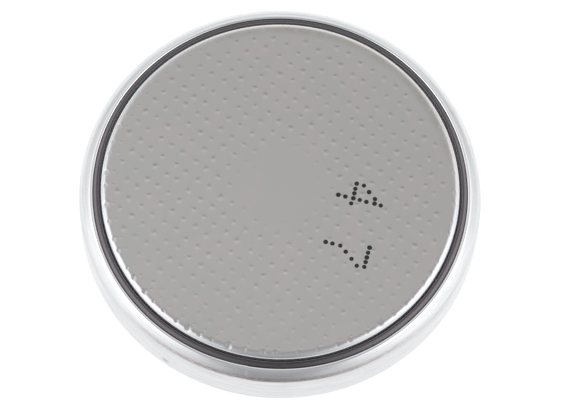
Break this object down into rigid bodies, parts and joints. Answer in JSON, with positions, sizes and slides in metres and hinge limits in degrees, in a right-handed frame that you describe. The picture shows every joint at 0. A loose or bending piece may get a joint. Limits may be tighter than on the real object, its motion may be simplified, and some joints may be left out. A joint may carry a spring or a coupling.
{
  "type": "lithium coin cell",
  "caption": "Flat round lithium coin cell: a steel can crimped over a dark gasket onto a raised, finely dimpled negative cap. It powers small electronics.",
  "frame": {"origin": "centre of the positive face, which the cell stands on", "axes": "+Z along the cell's axis, from the positive face to the negative face; every direction across it is alike"},
  "size_m": [0.02, 0.02, 0.0032],
  "materials": {
    "can": "bright nickel-plated stainless steel, with fine drawing marks",
    "cap": "satin stainless steel, finely dimpled",
    "gasket": "dark polypropylene with a soft sheen",
    "grid": "expanded stainless sheet, as sheared",
    "pellet": "matt pressed powder",
    "separator": "white non-woven",
    "lithium": "soft rolled foil, silvery grey"
  },
  "bodies": {
    "root": {"positive_can": "can", "negative_cap": "cap", "gasket": "gasket", "collector_grid": "grid", "cathode_pellet": "pellet", "separator": "separator", "lithium_disc": "lithium"}
  },
  "joints": []
}
